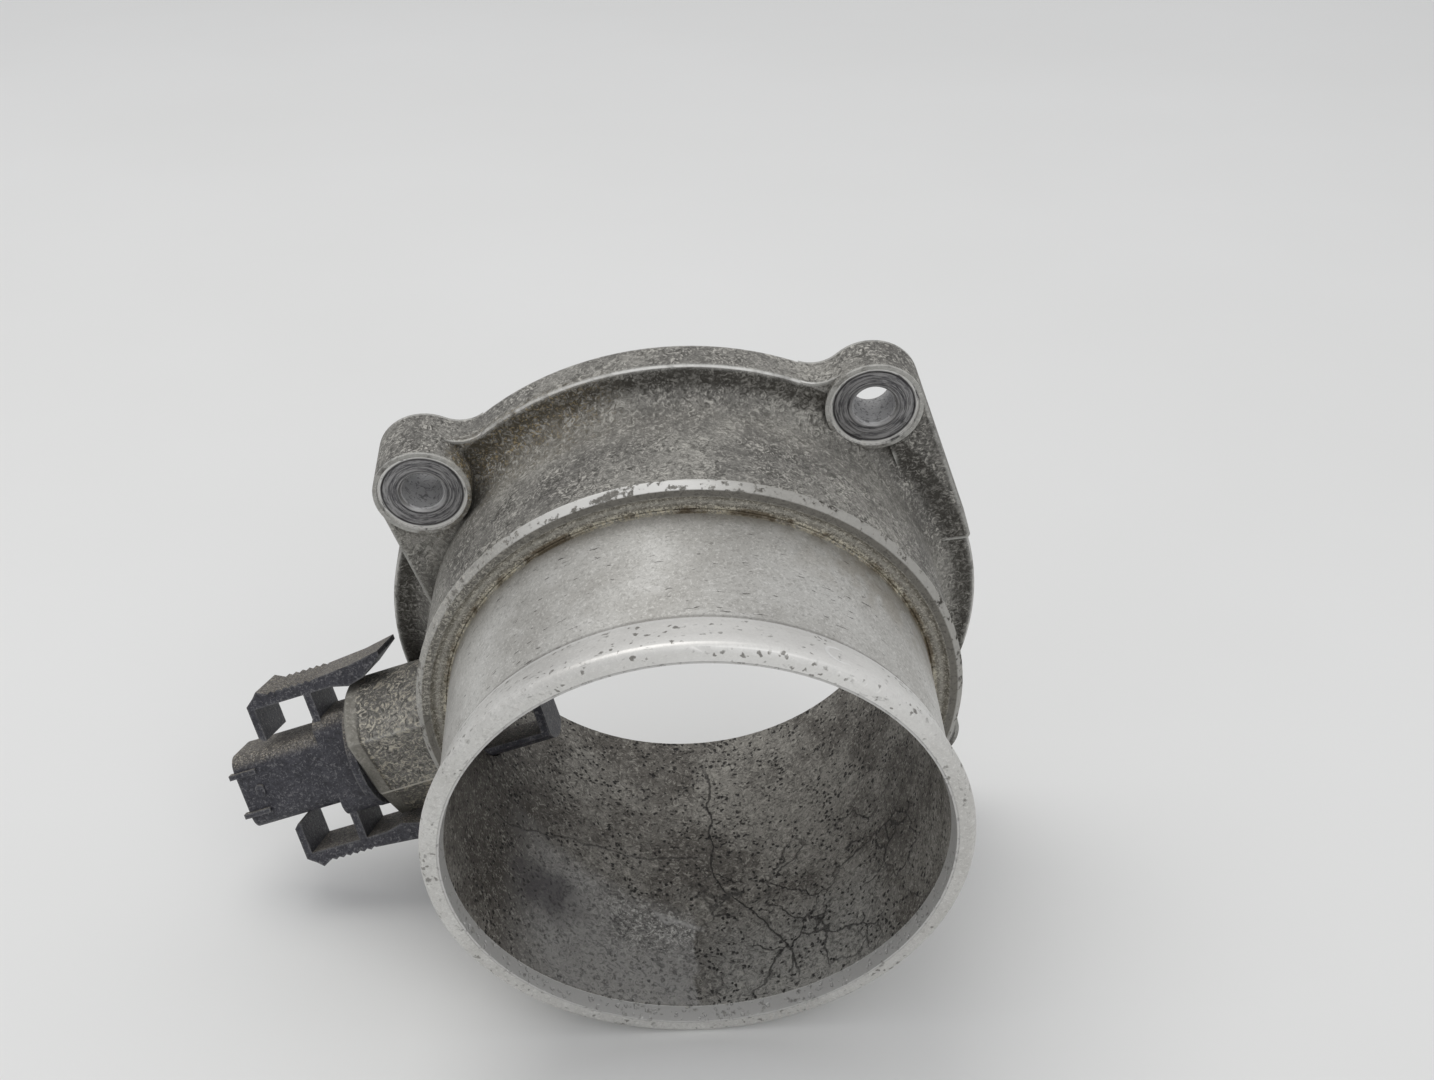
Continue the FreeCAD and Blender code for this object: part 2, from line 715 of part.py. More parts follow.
bead_top = "(stem_inner_end - lead_length)"
thermistor = new_body("thermistor_bead")
drawing = sketch_on(thermistor, "bead_outline", "XZ_Plane")
outline(drawing, [
    ("0", f"{bead_top} - bead_probe_length"),
    ("bead_probe_flat / 2", f"{bead_top} - bead_probe_length"),
    ("bead_probe_radius", f"{bead_top} - bead_probe_length + bead_probe_radius"),
    ("bead_probe_radius", f"{bead_top} - bead_probe_radius / 2"),
    ("bead_probe_flat", bead_top),
    ("0", bead_top),
])
spin(thermistor, "Revolution", "bead", drawing)

leads = []
for name, sign in (("thermistor_lead_upper", 1), ("thermistor_lead_lower", -1)):
    lead = new_body(name)
    drawing = sketch_on(lead, f"{name}_outline", "XY_Plane", lift=bead_top)
    ring(drawing, f"{sign} * lead_half_spacing", "0", "lead_radius")
    grow(lead, "Pad", f"{name}_wire", drawing, "lead_length")
    leads.append(lead)

# Places. The lean is worked out from the bead and the flange rim, which both touch the bench.


def bench_lean():
    drop = number("flange_radius - bead_radius")
    run = number("total_length - bead_nose - (flange_thickness - flange_edge_break)")
    return math.degrees(math.atan2(drop, run))


lean = Placement(Vector(), Rotation(Vector(1, 0, 0), 90 + bench_lean()))
to_sensor = Placement(Vector(0, 0, SIZES["sensor_height"]), Rotation(
    Matrix(
        math.sin(math.radians(SIZES["sensor_angle"])), 0, sensor_axis().x, 0,
        -math.cos(math.radians(SIZES["sensor_angle"])), 0, sensor_axis().y, 0,
        0, -1, 0, 0)) * Rotation(Vector(0, 0, 1), SIZES["sensor_twist"]))
casting.Placement = lean
for piece in [housing, seal, thermistor] + blades + leads:
    piece.Placement = lean * to_sensor

doc.recompute()
nodes = [casting, housing, seal, *blades, thermistor, *leads]
for item in doc.Objects:
    if "Invalid" in item.State or "Error" in item.State:
        raise RuntimeError(f"{item.Name} failed: {item.State}")
for node in nodes:
    if node.Shape.isNull() or not node.Shape.isValid() or len(node.Shape.Solids) != 1:
        raise RuntimeError(f"{node.Label} is not one valid solid")

os.makedirs("parts", exist_ok=True)
for node in nodes:
    node.Shape.exportStep(f"parts/{node.Label}.step")
    print(f"{node.Label}: {node.Shape.Volume:.1f} mm3")
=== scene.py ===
import math
import bmesh
import bpy
from mathutils import Matrix, Vector


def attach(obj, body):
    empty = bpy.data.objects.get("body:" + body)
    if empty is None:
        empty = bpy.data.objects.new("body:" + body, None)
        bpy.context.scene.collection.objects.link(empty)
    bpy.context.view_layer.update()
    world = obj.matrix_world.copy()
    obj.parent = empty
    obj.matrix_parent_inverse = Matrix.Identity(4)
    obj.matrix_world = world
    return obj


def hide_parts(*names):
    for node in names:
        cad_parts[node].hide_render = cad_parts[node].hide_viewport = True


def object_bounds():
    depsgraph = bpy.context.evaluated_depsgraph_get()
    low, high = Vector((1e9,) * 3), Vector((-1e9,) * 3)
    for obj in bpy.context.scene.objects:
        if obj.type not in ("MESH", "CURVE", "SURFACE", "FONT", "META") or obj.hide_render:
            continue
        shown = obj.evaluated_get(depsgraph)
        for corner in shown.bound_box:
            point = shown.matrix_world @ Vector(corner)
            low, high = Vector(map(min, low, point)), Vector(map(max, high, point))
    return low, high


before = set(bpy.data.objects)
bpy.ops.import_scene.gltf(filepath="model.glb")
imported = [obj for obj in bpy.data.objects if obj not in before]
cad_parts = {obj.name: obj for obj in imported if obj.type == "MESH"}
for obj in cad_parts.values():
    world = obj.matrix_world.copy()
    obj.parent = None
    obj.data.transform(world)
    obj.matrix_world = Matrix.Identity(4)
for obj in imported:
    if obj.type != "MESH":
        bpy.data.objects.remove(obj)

cad_box = [list(corner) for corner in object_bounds()]

# The camera is held above the pipe's open end and looks down into it. Its place and its lens
# come from the duct's circles in the photograph, so the frame is the photograph's own.

eye = Vector((-0.00643, -0.28484, 0.16591))
ahead = Vector((0.03805, 0.87654, -0.47984)).normalized()
right = Vector((0.99885, -0.0474, -0.0074)).normalized()
lens = bpy.data.cameras.new("camera")
lens.sensor_fit = "HORIZONTAL"
lens.sensor_width = 36.0
lens.lens = 45.19
lens.clip_start = 0.01
camera = bpy.data.objects.new("camera", lens)
turn = Matrix((right, right.cross(ahead), -ahead)).transposed()
camera.matrix_world = Matrix.Translation(eye) @ turn.to_4x4()
bpy.context.scene.collection.objects.link(camera)
bpy.context.scene.camera = camera
bpy.context.scene.view_settings.view_transform = "Standard"

# The bench is a plain pale board. A shader value is wrapped so that its maths can be written
# as plain sums here and in every later material.


class Wire:
    """One shader socket. Python's operators on it add Math nodes to its material."""

    def __init__(self, tree, socket=None):
        self.tree = tree
        self.socket = socket

    def node(self, kind, settings=None, values=None, out=0):
        """Any node: its settings first, then what its sockets hold or are fed."""
        made = self.tree.nodes.new(kind)
        for name, value in (settings or {}).items():
            setattr(made, name, value)
        for name, value in (values or {}).items():
            if isinstance(value, Wire):
                self.tree.links.new(value.socket, made.inputs[name])
            else:
                made.inputs[name].default_value = value
        return Wire(self.tree, made.outputs[out])

    def maths(self, operation, *others):
        """One Math node on these values, in the order of its sockets."""
        return self.node("ShaderNodeMath", {"operation": operation}, dict(enumerate(others)))

    def __add__(self, other):
        return self.maths("ADD", self, other)

    def __sub__(self, other):
        return self.maths("SUBTRACT", self, other)

    def __mul__(self, other):
        return self.maths("MULTIPLY", self, other)

    def __truediv__(self, other):
        return self.maths("DIVIDE", self, other)

    def __rsub__(self, other):
        return self.maths("SUBTRACT", other, self)

    __radd__ = __add__
    __rmul__ = __mul__

    def least(self, other):
        return self.maths("MINIMUM", self, other)

    def most(self, other):
        return self.maths("MAXIMUM", self, other)

    def root(self):
        return self.maths("SQRT", self)

    def rise(self, low, high):
        """0 up to low and 1 from high on, smooth between. low may be the larger."""
        return self.node("ShaderNodeMapRange", {"interpolation_type": "SMOOTHSTEP"},
                         {"Value": self, "From Min": low, "From Max": high})

    def band(self, low, high, soft):
        """1 between low and high, fading over soft on both sides."""
        return self.rise(low - soft, low + soft) * self.rise(high + soft, high - soft)

    def noise(self, scale, detail=2.0, rough=0.5, skew=0.0):
        """A cloudy value about 0.5 at this place, finer as the scale goes up."""
        return self.node("ShaderNodeTexNoise", None, {
            "Vector": self, "Scale": scale, "Detail": detail, "Roughness": rough,
            "Distortion": skew})

    def cells(self, scale, feature="F1"):
        """The distance to a scattered point, or to the line between two cells."""
        return self.node("ShaderNodeTexVoronoi", {"feature": feature}, {
            "Vector": self, "Scale": scale}, "Distance")

    def warp(self, scale, reach, detail=2.0):
        """This place, pushed up to reach away from itself by a noise."""
        push = self.node("ShaderNodeTexNoise", None, {
            "Vector": self, "Scale": scale, "Detail": detail}, "Color")
        push = self.node("ShaderNodeVectorMath", {"operation": "MULTIPLY_ADD"}, {
            0: push, 1: (2 * reach,) * 3, 2: (-reach,) * 3})
        return self.node("ShaderNodeVectorMath", {"operation": "ADD"}, {0: self, 1: push})

    def place(self, x=0.0, y=0.0, z=0.0):
        """A place from three numbers."""
        return self.node("ShaderNodeCombineXYZ", None, {"X": x, "Y": y, "Z": z})

    def millimetres(self, turn=0.0):
        """This place in millimetres, turned about the X axis."""
        return self.node("ShaderNodeMapping", None, {
            "Vector": self, "Scale": (1000, 1000, 1000), "Rotation": (turn, 0, 0)})

    def part(self, axis):
        """One of this place's three numbers."""
        return self.node("ShaderNodeSeparateXYZ", None, {"Vector": self}, axis)

    def off(self, middle):
        """How far this is from a number, either way."""
        away = self - middle
        return away.maths("ABSOLUTE", away)

    def between(self, low, high):
        """The colour low where this mask is 0 and high where it is 1."""
        return self.node("ShaderNodeMix", {"data_type": "RGBA"}, {0: self, 6: low, 7: high}, 2)

    def over(self, mask, colour):
        """This colour with another laid over it where the mask is 1."""
        return self.node("ShaderNodeMix", {"data_type": "RGBA"}, {0: mask, 6: self, 7: colour}, 2)

    def corners(self, reach, inside=False):
        """1 on open faces, less within reach of an inner corner, or of an outer one."""
        return self.node("ShaderNodeAmbientOcclusion", {
            "samples": 4, "inside": inside, "only_local": True}, {"Distance": reach}, "AO")

    def relief(self):
        """The normal of a surface raised by this many millimetres."""
        return self.node("ShaderNodeBump", None, {
            "Height": self, "Distance": 0.001, "Strength": 1.0})


def paint(red, green, blue):
    """A colour given as 0 to 255, as linear light."""
    parts = []
    for part in (red, green, blue):
        part /= 255
        parts.append(part / 12.92 if part <= 0.04045 else ((part + 0.055) / 1.055) ** 2.4)
    return (*parts, 1.0)


def new_material(name):
    """A new material, its shader, and the place on the piece as a wire."""
    material = bpy.data.materials.new(name)
    material.use_nodes = True
    tree = material.node_tree
    shader = tree.nodes["Principled BSDF"]
    here = Wire(tree).node("ShaderNodeTexCoord", out="Object")
    return material, shader, here


def feed(shader, **sockets):
    """Link wires to the shader's sockets, or set numbers on them."""
    for name, value in sockets.items():
        socket = shader.inputs[name.replace("_", " ")]
        if isinstance(value, Wire):
            value.tree.links.new(value.socket, socket)
        else:
            socket.default_value = value


def keep_mesh(name, bm):
    """A new object at the origin from a finished bmesh."""
    mesh = bpy.data.meshes.new(name)
    bm.to_mesh(mesh)
    bm.free()
    piece = bpy.data.objects.new(name, mesh)
    bpy.context.scene.collection.objects.link(piece)
    return piece


floor_height = cad_box[0][2]
floor_reach = 3.0
bm = bmesh.new()
bmesh.ops.create_grid(bm, x_segments=1, y_segments=1, size=floor_reach)
bmesh.ops.translate(bm, verts=bm.verts, vec=(0, 0, floor_height))
floor = keep_mesh("floor", bm)
material, shader, here = new_material("pale_board")
cloud = here.noise(6.0, 4.0)
feed(shader, Base_Color=cloud.between(paint(221, 221, 218), paint(228, 228, 226)), Roughness=0.6)
floor.data.materials.append(material)

# Soft light from a broad ceiling lamp over the bench's left side, and a weaker one at the front.
# The room beyond the bench looks as pale as the bench does.

world = bpy.data.worlds.new("room")
world.use_nodes = True
light = world.node_tree.nodes["Background"]
light.inputs["Color"].default_value = paint(250, 251, 255)
light.inputs["Strength"].default_value = 0.72
room = Wire(world.node_tree)
seen = room.node("ShaderNodeLightPath", out="Is Camera Ray").most(
    room.node("ShaderNodeLightPath", out="Is Glossy Ray"))
wall = room.node("ShaderNodeBackground", None, {"Color": paint(212, 212, 212), "Strength": 1.0})
both = room.node("ShaderNodeMixShader", None, {
    0: seen, 1: Wire(world.node_tree, light.outputs[0]), 2: wall})
world.node_tree.links.new(both.socket, world.node_tree.nodes["World Output"].inputs["Surface"])
bpy.context.scene.world = world


def soft_lamp(name, place, target, size, power, colour):
    lamp = bpy.data.lights.new(name, "AREA")
    lamp.shape = "DISK"
    lamp.size = size
    lamp.energy = power
    lamp.color = colour
    holder = bpy.data.objects.new(name, lamp)
    aim = (Vector(target) - Vector(place)).to_track_quat("-Z", "Y")
    holder.matrix_world = Matrix.Translation(place) @ aim.to_matrix().to_4x4()
    bpy.context.scene.collection.objects.link(holder)


soft_lamp("ceiling_lamp", (-0.25, 0.1, 0.95), (0, 0, 0), 0.8, 3.0, (1.0, 0.99, 0.97))
soft_lamp("front_lamp", (0.35, -0.8, 0.6), (0, 0, 0), 0.6, 1.3, (0.97, 0.98, 1.0))

# The pipe casting is one die casting in aluminium, sandy where it came out of the die and bright
# where the lathe and the spotfacing tool have been. Years under a bonnet left it dirty in the
# corners, which also carry painted shade. Its solid is carried over, with the corners of the
# casting eased.

duct_length = 65.8
flange_thickness = 6.66
rim_radius = 52.1
rim_break = 0.5
bead_radius = 43.0
bead_nose = 1.3
bead_start = duct_length - 8.7
bore_edge = 40.1
shoulder_face = 31.0
lip_edge = 44.1
ear_circle = 54.0
ear_turns = [54.2, 144.2, 234.2, 324.2]
seat_radius = 7.5
hole_edge = 3.6
boss_half = 14.0
parting_line = 3.3
sensor_turn = math.radians(199.2)
lean = math.atan2(rim_radius - bead_radius,
                  duct_length - bead_nose - (flange_thickness - rim_break))


def eased_copy(name, node, width, segments, sharpest):
    """A merged copy of a node, with its sharp edges rounded over."""
    bm = bmesh.new()
    bm.from_mesh(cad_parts[node].data)
    bmesh.ops.remove_doubles(bm, verts=bm.verts, dist=2e-6)
    bmesh.ops.dissolve_limit(bm, angle_limit=math.radians(0.2), verts=bm.verts, edges=bm.edges)
    piece = keep_mesh(name, bm)
    piece.data.shade_smooth()
    piece.data.set_sharp_from_angle(angle=math.radians(sharpest))
    ease = piece.modifiers.new("ease", "BEVEL")
    ease.limit_method = "ANGLE"
    ease.angle_limit = math.radians(sharpest)
    ease.width = width
    ease.segments = segments
    ease.harden_normals = True
    return piece


casting = eased_copy("casting", "pipe_casting", 0.0003, 2, 28)

material, shader, here = new_material("cast_aluminium")

# The pattern's axes follow the duct, with z from its flange to its open end. The skin is the
# duct's wall laid out flat: the degrees around it, in arc millimetres at the wall, and its z.

arc_per_degree = 0.7
mm = here.millimetres(-math.pi / 2 - lean)
x, y, z = mm.part("X"), mm.part("Y"), mm.part("Z")
out = (x * x + y * y).root()
around = y.maths("ARCTAN2", y, x) * (180 / math.pi)
skin = mm.place(around * arc_per_degree, out, z)

# Where each finish lies: the machined faces, then the edges and corners of the casting. The inner
# corners' mask carries grime and painted shade together.

bore = out.rise(bore_edge + 0.25, bore_edge)
lead_in = bore * z.rise(duct_length - 2.75, duct_length - 2.6)
spigot = (1 - bore) * z.rise(shoulder_face - 0.3, shoulder_face) * out.rise(43.95, 43.85)
end_face = z.rise(duct_length - 0.3, duct_length - 0.1)
bead = spigot * z.rise(bead_start - 0.2, bead_start + 0.2)
lip = (1 - bore) * z.band(29.95, 32.0, 0.12) * out.rise(lip_edge - 0.3, lip_edge)
gutter = (1 - bore) * z.band(30.5, 31.6, 0.15) * out.band(41.1, 43.9, 0.15)
seat = None
for turn in ear_turns:
    across = x - ear_circle * math.cos(math.radians(turn))
    along = y - ear_circle * math.sin(math.radians(turn))
    off = across * across + along * along
    seat = off if seat is None else seat.least(off)
seat = seat.root()
seat_face = seat.rise(seat_radius + 0.05, seat_radius - 0.05)
seat_face = seat_face * z.rise(5.9, 6.1) * seat.rise(hole_edge - 0.2, hole_edge)
hole_wall = seat.rise(hole_edge + 0.15, hole_edge)
rear_face = z.rise(0.12, 0.05)
corner_grime_and_shade = mm.corners(0.0035).rise(0.86, 0.5)
worn_edge = mm.corners(0.0007, inside=True).rise(0.93, 0.72)
worn_edge = worn_edge * out.rise(47.0, 49.0).most(seat.rise(12.0, 14.0))

# The sand of the die: pale and dark flakes under a millimetre across, on softer patches.

mottle = mm.noise(0.07, 5.0, 0.62)
patch = mm.noise(0.21, 4.0, 0.6)
flake = mm.noise(0.95, 3.0, 0.65, 1.6)
sand = mm.noise(1.9, 2.0, 0.6, 1.0)
coarse = 0.35 + patch.rise(0.36, 0.6) * 0.45
colour = mottle.rise(0.34, 0.66).between(paint(104, 102, 98), paint(146, 144, 138))
colour = colour.over(flake.rise(0.50, 0.62) * coarse, paint(62, 60, 55))
colour = colour.over(flake.rise(0.48, 0.36) * coarse, paint(196, 193, 185))
colour = colour.over(sand.rise(0.55, 0.68) * 0.45, paint(56, 54, 50))
colour = colour.over(sand.rise(0.43, 0.33) * 0.3, paint(200, 197, 189))

# Grime and painted shade darken the flange where the wall runs into it; tan dust at the long ear.

flange_face_grime_and_shade = out.rise(46.8, 49.5) * z.band(6.2, 7.6, 0.4) * out.rise(52.0, 51.7)
crest = out.band(45.0, 47.5, 0.8) * z.band(9.0, 17.0, 3.0)
colour = colour.over(crest * patch.rise(0.3, 0.55) * 0.3, paint(176, 173, 165))
# The flange's front face is painted dark: grime, and painted shade on a face turned from the
# light.
colour = colour.over(flange_face_grime_and_shade * (0.45 + flake.rise(0.35, 0.6) * 0.4), paint(56, 53, 47))
by_ear = around.band(108.0, 147.0, 10.0) * out.band(46.0, 54.0, 2.0) * z.band(6.3, 14.0, 2.0)
colour = colour.over(by_ear * flake.rise(0.34, 0.56) * 0.75, paint(82, 73, 54))
colour = colour.over(by_ear * sand.rise(0.55, 0.64) * 0.8, paint(172, 154, 116))
# Inner corners are painted darker: grime, and painted shade where the light is blocked.
colour = colour.over(corner_grime_and_shade * (0.45 + flake * 0.6) * 0.7, paint(60, 57, 51))
colour = colour.over(worn_edge * patch.rise(0.3, 0.5) * 0.7, paint(198, 197, 192))
# The rim's front edge is worn bright in patches, with a painted highlight strongest along its top.
rim_wear_and_highlight = out.band(rim_radius - 0.36, rim_radius + 0.5, 0.08) * z.band(6.2, 6.62, 0.1)
rim_wear_and_highlight = rim_wear_and_highlight * (patch.rise(0.34, 0.5) * 0.5 + around.band(66.0, 112.0, 18.0) * 0.5)
colour = colour.over(rim_wear_and_highlight, paint(222, 221, 217))

# The boss has a smoother strip round its end and the die's parting line along its lower front.
# The parting line is a thin painted highlight, with painted shade on the boss below it.

boss_off = x * math.cos(sensor_turn) + y * math.sin(sensor_turn)
boss_side = x * -math.sin(sensor_turn) + y * math.cos(sensor_turn)
near_boss = boss_side.off(0.0).rise(boss_half + 0.5, boss_half - 0.5) * z.rise(9.0, 11.0)
boss_rim = boss_off.rise(57.3, 57.7) * near_boss
colour = colour.over(boss_rim * 0.65, paint(140, 137, 128))
# A thin dark line at the inner edge of the smooth strip is painted shade standing in for a small
# step.
boss_step_shade = boss_off.off(57.3).rise(0.45, 0.1) * boss_rim.most(boss_off.rise(56.9, 57.0))
boss_step_shade = boss_step_shade * boss_side.off(-4.0).rise(9.0, 6.0) * z.rise(18.0, 20.0)
colour = colour.over(boss_step_shade * boss_off.rise(62.0, 61.0) * 0.7, paint(58, 55, 49))
boss = boss_off.rise(44.0, 47.0) * near_boss
# Painted shade below the parting line, then the line itself as a thin painted highlight.
colour = colour.over(boss * boss_side.rise(parting_line, parting_line + 0.4) * 0.5,
                     paint(78, 75, 69))
colour = colour.over(boss * boss_side.off(parting_line).rise(0.36, 0.14) * 0.8,
                     paint(198, 194, 184))
colour = colour.over(boss * (1 - boss_rim) * flake.rise(0.5, 0.38) * 0.35, paint(196, 186, 160))

# Inside, the wall is stained, darker deep on the lower left and paler low on the right near the
# open end. It is pitted and crazed, and rubbed smooth low at the front.

pits = skin.warp(0.7, 0.7).cells(0.95).rise(0.36, 0.22) * skin.noise(0.35, 3.0).rise(0.40, 0.54)
low_right = around.band(-88.0, -18.0, 8.0) * z.band(31.0, 62.0, 5.0)
crazed = skin.warp(0.35, 1.6, 4.0).cells(0.13, "DISTANCE_TO_EDGE").rise(0.03, 0.01)
crazed = crazed * skin.noise(0.1, 2.0).rise(0.40, 0.50) * low_right
wander = skin.warp(0.2, 1.8, 5.0)
turned = wander.part("X") / arc_per_degree
split = turned - z.rise(32.0, 58.0) * 20.0
split = split.off(-85.0).rise(0.4, 0.1) * z.band(8.0, 60.0, 3.0)
seam = wander.part("Z") - around.rise(-120.0, -152.0) * 6.0
seam = seam.off(30.5).rise(0.35, 0.1) * around.band(-152.0, -88.0, 3.0)
fold = wander.part("Z") + (turned + 90.0) * -0.28
rubbed = turned.rise(-90.0, -91.5) * around.rise(-150.0, -128.0) * fold.rise(42.0, 48.0)
rubbed = rubbed * z.rise(63.5, 62.5)
crease = fold.off(46.5).rise(0.8, 0.2) * turned.band(-101.0, -89.0, 2.0)
drift = skin.warp(0.12, 7.0, 5.0)
smudge = (drift.part("X") + 92.0) * 0.8
smudge_up = drift.part("Z") - 45.0
smudge = (smudge * smudge + smudge_up * smudge_up).rise(70.0, 4.0)
stain = skin.noise(0.09, 4.0, 0.6)
inside = stain.rise(0.36, 0.62).between(paint(104, 100, 94), paint(144, 141, 134))
inside = inside.over(around.rise(-115.0, -145.0) * z.band(8.0, 56.0, 8.0) * 0.7, paint(58, 52, 46))
inside = inside.over(around.band(-88.0, -38.0, 8.0) * z.rise(40.0, 54.0) * (0.4 + mottle * 0.6),
                     paint(158, 157, 152))
inside = inside.over(flake.rise(0.51, 0.62) * 0.55, paint(56, 53, 49))
inside = inside.over(flake.rise(0.46, 0.35) * 0.5, paint(188, 185, 176))
inside = inside.over(sand.rise(0.56, 0.66) * 0.5, paint(46, 44, 41))
inside = inside.over(rubbed * (0.2 + mottle * 0.8), paint(166, 165, 162))
inside = inside.over(rubbed * flake.rise(0.52, 0.62) * 0.5, paint(84, 83, 82))
scuffed = rubbed * z.rise(56.0, 46.0) * turned.rise(-120.0, -104.0)
inside = inside.over(scuffed * flake.rise(0.48, 0.38) * 0.75, paint(206, 205, 200))
inside = inside.over(scuffed * sand.rise(0.54, 0.62) * 0.6, paint(52, 51, 49))
inside = inside.over(smudge * (0.35 + patch * 0.5), paint(52, 48, 54))
inside = inside.over(crease * 0.5, paint(196, 195, 192))
inside = inside.over(pits * (1 - rubbed * 0.6) * 0.9, paint(26, 25, 24))
cracks = crazed.most(split).most(seam * 0.7)
inside = inside.over(cracks * 0.75, paint(40, 38, 37))
colour = colour.over(bore * (1 - lead_in), inside)

# The lathe left fine rings on the spigot, which handling has rubbed to a satin with a few nicks.

rings = mm.place(z * 5.0, out * 5.0).noise(1.0, 4.0, 0.7)
nicks = skin.node("ShaderNodeMapping", None, {
    "Vector": skin, "Rotation": (0, 0.5, 0), "Scale": (0.5, 1.0, 2.2)}).noise(0.9, 2.0, 0.5)
nicks = nicks.rise(0.685, 0.71) * skin.noise(0.06, 2.0).rise(0.42, 0.52)
bright = mottle.rise(0.3, 0.7).between(paint(172, 170, 165), paint(196, 195, 191))
bright = bright.over(rings.rise(0.45, 0.75) * 0.2, paint(140, 138, 133))
bright = bright.over(patch.rise(0.52, 0.7) * 0.3, paint(212, 211, 208))
bright = bright.over(sand.rise(0.52, 0.66) * 0.4, paint(128, 126, 121))
bright = bright.over(sand.rise(0.44, 0.34) * 0.4, paint(226, 225, 221))
bright = bright.over(z.rise(34.5, 31.5) * patch.rise(0.3, 0.55) * 0.4, paint(128, 120, 106))
bright = bright.over(z.rise(46.0, 38.0) * around.rise(80.0, 45.0) * patch.rise(0.4, 0.6) * 0.4,
                     paint(134, 124, 106))
bright = bright.over(nicks * 0.75, paint(76, 74, 70))
specks = skin.warp(0.9, 0.9).cells(0.8).rise(0.36, 0.2) * skin.noise(0.25, 3.0).rise(0.46, 0.56)
bright = bright.over(specks * bead.most(end_face) * 0.6, paint(98, 95, 90))
colour = colour.over(spigot * (1 - gutter), bright)
# The bead is painted paler: partly its bright turned finish, and a painted highlight along its
# top.
colour = colour.over(bead * (1 - specks) * (0.3 + around.band(35.0, 115.0, 25.0) * 0.4),
                     paint(236, 235, 232))
# A dark line before the bead's start is painted shadow, and a bright line on it is a painted
# highlight, for a small ridge there.
colour = colour.over(spigot * z.band(bead_start - 0.9, bead_start - 0.3, 0.25) * 0.45,
                     paint(92, 90, 86))
colour = colour.over(spigot * z.band(bead_start, bead_start + 0.8, 0.2) * 0.65,
                     paint(228, 227, 225))

# One knock on the bead left a bright half ring.

ding_across = (around - 61.0) * 0.73
ding_along = z - 61.9
ding = (ding_across * ding_across + ding_along * ding_along).band(3.2, 5.4, 0.5)
ding = ding * around.rise(59.0, 61.0)
colour = colour.over(ding * spigot * 0.7, paint(236, 236, 234))
colour = colour.over(lead_in * (0.95 - specks * 0.6), paint(192, 191, 188))

# The shoulder's edge is worn bright in patches and painted brightest along its top as a highlight.
# The gutter behind it holds gritty dirt.

chips = skin.noise(0.6, 4.0, 0.7)
edge = lip * out.rise(45.05, 45.3)
edge_wear_and_highlight = edge * chips.rise(0.60, 0.53) * (0.2 + around.band(84.0, 124.0, 12.0) * 0.8)
colour = colour.over(lip, paint(124, 121, 114))
colour = colour.over(lip * flake.rise(0.50, 0.62) * 0.45, paint(72, 70, 65))
colour = colour.over(lip * around.rise(110.0, 150.0) * sand.rise(0.5, 0.4) * 0.6,
                     paint(206, 202, 190))
colour = colour.over(edge * 0.45, paint(176, 174, 168))
colour = colour.over(edge * chips.rise(0.56, 0.66) * (0.5 + around.rise(84.0, 70.0) * 0.5),
                     paint(66, 63, 58))
# The edge's bright wear, strongest along the top, where it is also a painted highlight.
colour = colour.over(edge_wear_and_highlight, paint(226, 225, 222))
colour = colour.over(gutter, paint(142, 138, 128))
colour = colour.over(gutter * flake.rise(0.5, 0.6) * 0.55, paint(92, 86, 74))
colour = colour.over(gutter * sand.rise(0.48, 0.38) * 0.7, paint(206, 201, 188))
colour = colour.over(gutter * out.band(42.2, 42.9, 0.25) * 0.4, paint(196, 193, 184))
foot = out.band(40.5, 41.7, 0.2) * z.band(30.4, 31.7, 0.2) * (1 - bore)
colour = colour.over(foot * sand.rise(0.6, 0.45) * 0.85, paint(214, 208, 190))
colour = colour.over(foot * patch.rise(0.45, 0.6) * 0.8, paint(96, 82, 60))

# The spotfacing tool cut bright seats, which the bolts' washers then rubbed into rings. The
# flange's back is faced flat on the lathe.

swirl = mm.place(seat * 3.2, x * 0.3, y * 0.3).noise(1.0, 4.0, 0.75)
seats = swirl.rise(0.36, 0.6).between(paint(78, 77, 80), paint(158, 157, 157))
seats = seats.over(seat.band(6.95, 7.6, 0.12) * swirl.rise(0.34, 0.46), paint(226, 225, 222))
seats = seats.over(seat.off(6.7).rise(0.22, 0.08) * 0.8, paint(52, 50, 50))
seats = seats.over(seat.off(5.4).rise(0.14, 0.05) * swirl.rise(0.42, 0.5) * 0.6, paint(60, 59, 60))
seats = seats.over(seat.off(4.35).rise(0.2, 0.06) * 0.6, paint(56, 55, 56))
seats = seats.over(seat.band(3.4, 4.1, 0.1) * 0.5, paint(176, 175, 174))
colour = colour.over(seat_face, seats)
walls = patch.between(paint(150, 150, 151), paint(190, 189, 188))
walls = walls.over(flake.rise(0.52, 0.62) * 0.6, paint(70, 69, 69))
colour = colour.over(hole_wall, walls)
turning = mm.place(out * 4.0, z, 0.0).noise(1.0, 3.0, 0.7)
rear = mottle.rise(0.3, 0.7).between(paint(138, 136, 131), paint(166, 164, 159))
rear = rear.over(turning.rise(0.5, 0.7) * 0.35, paint(108, 106, 101))
rear = rear.over(sand.rise(0.54, 0.66) * 0.4, paint(92, 90, 85))
colour = colour.over(rear_face, rear)

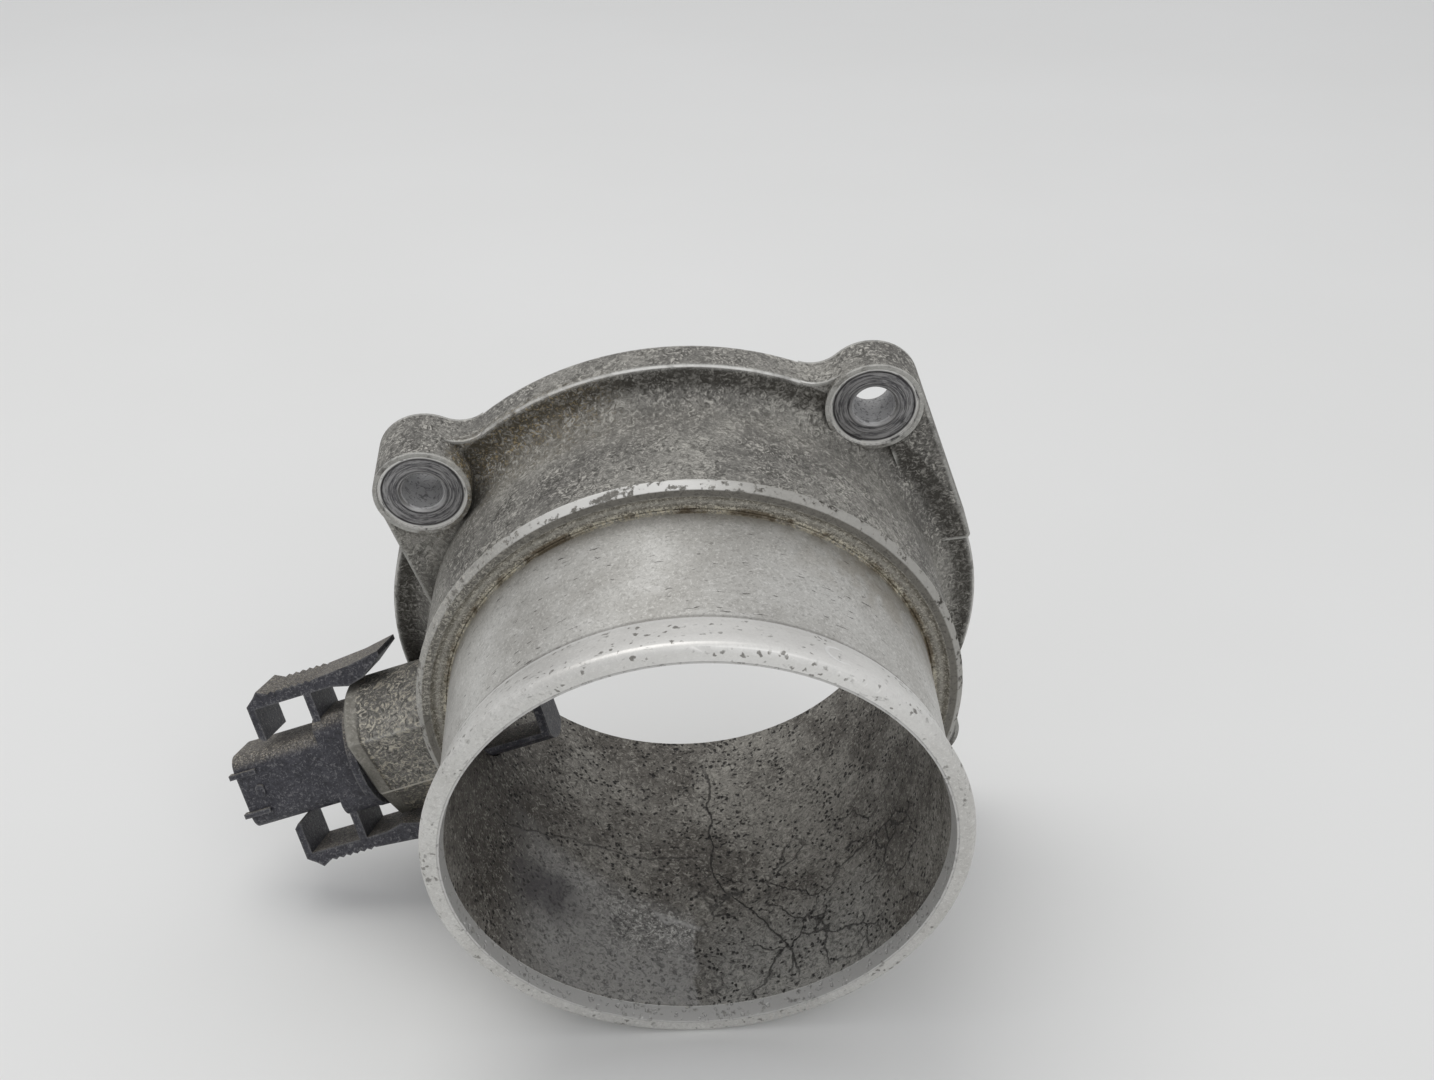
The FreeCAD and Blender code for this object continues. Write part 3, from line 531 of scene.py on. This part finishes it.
machined = (spigot * (1 - gutter)).most(lead_in).most(seat_face).most(rear_face).most(edge_wear_and_highlight)
rough = 0.6 - machined * 0.22 + flake * 0.14 - rubbed * bore * 0.1
metal = 0.4 + machined * 0.4 - (lead_in * 0.4).most(spigot * 0.2) - hole_wall * 0.3
height = (flake * 0.24 + sand * 0.1) * (1 - machined) * (1 - bore * 0.5)
height = height + rings * machined * 0.006
height = height - (pits + cracks - crease) * bore * 0.25 + swirl * seat_face * 0.06
height = height - (nicks + ding) * spigot * 0.05 + gutter * flake * 0.4
feed(shader, Base_Color=colour, Roughness=rough, Metallic=metal, Normal=height.relief())
casting.data.materials.clear()
casting.data.materials.append(material)
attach(casting, "root")
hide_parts("pipe_casting")

# The sensor housing is one black moulding that is pushed into the boss and held by its clips.
# The plastic has faded to a dark grey, and road dust lies on everything that faces up.
# The faces that look up are painted paler for that dust and as painted light from above.

housing = eased_copy("sensor_body", "sensor_housing", 0.0002, 2, 28)
material, shader, here = new_material("sensor_plastic")
mm = here.millimetres()
speck = mm.noise(1.7, 3.0, 0.7, 1.0)
grit = mm.noise(3.2, 2.0, 0.6)
patch = mm.noise(0.3, 3.0, 0.6)
facing_up = here.node("ShaderNodeNewGeometry", out="Normal").part("Z")
edge = mm.corners(0.0004, inside=True).rise(0.9, 0.65)
corner = mm.corners(0.002).rise(0.85, 0.5)
colour = patch.rise(0.3, 0.7).between(paint(42, 42, 50), paint(58, 58, 65))
colour = colour.over(speck.rise(0.52, 0.62) * 0.7, paint(20, 20, 25))
dust_and_top_light = facing_up.rise(0.3, 0.9)
# Faces that look up are painted paler: road dust, and painted light from above.
colour = colour.over(dust_and_top_light * (0.4 + speck.rise(0.56, 0.42) * 0.5), paint(112, 107, 98))
colour = colour.over(dust_and_top_light * grit.rise(0.56, 0.64) * 0.7, paint(176, 168, 152))
colour = colour.over(speck.rise(0.46, 0.36) * 0.55, paint(126, 125, 125))
# Inner corners of the upward faces are painted darker: grime, and painted shade.
colour = colour.over(corner * dust_and_top_light * 0.4, paint(92, 86, 75))
colour = colour.over(edge * patch.rise(0.35, 0.6) * 0.5, paint(118, 117, 116))
height = speck * 0.16 + grit * 0.06 + patch * 0.05
feed(shader, Base_Color=colour, Roughness=0.5 + dust_and_top_light * 0.3, Normal=height.relief())
housing.data.materials.clear()
housing.data.materials.append(material)
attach(housing, "root")
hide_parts("sensor_housing")

# The seal ring is moulded in black rubber. It sits in the stem's groove and is squeezed a little
# by the boss's bore when the sensor is pushed home.


def dress(material, *nodes):
    """Give solids that stay as they are their finish."""
    for node in nodes:
        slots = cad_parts[node].data.materials
        slots.clear()
        slots.append(material)


material, shader, here = new_material("seal_rubber")
mm = here.millimetres()
bloom = mm.noise(1.2, 3.0)
feed(shader, Base_Color=bloom.between(paint(28, 28, 30), paint(46, 45, 46)),
     Roughness=0.45 + bloom * 0.2)
dress(material, "sensor_seal")

# Two flat blades stand in the socket, punched from tin-plated brass and pressed into its floor.
# The tin has worn through to the brass in places.

material, shader, here = new_material("tinned_brass")
mm = here.millimetres()
wear = mm.noise(1.5, 4.0)
feed(shader, Base_Color=wear.rise(0.5, 0.7).between(paint(196, 194, 188), paint(176, 160, 122)),
     Roughness=0.25 + wear * 0.2, Metallic=1.0)
dress(material, "terminal_upper", "terminal_lower")

# The thermistor hangs in the probe cage, a bead dipped in dark resin. Its two stiff tinned wires
# hold it clear of the cage and run into the stem.

material, shader, here = new_material("bead_resin")
mm = here.millimetres()
runs = mm.noise(0.9, 2.0)
feed(shader, Base_Color=runs.between(paint(30, 34, 40), paint(52, 56, 62)),
     Roughness=0.3 + runs * 0.2)
dress(material, "thermistor_bead")
material, shader, here = new_material("lead_wire")
mm = here.millimetres()
dull = mm.noise(2.0, 3.0)
feed(shader, Base_Color=dull.between(paint(168, 166, 160), paint(196, 194, 190)),
     Roughness=0.3 + dull * 0.2, Metallic=1.0)
dress(material, "thermistor_lead_upper", "thermistor_lead_lower")
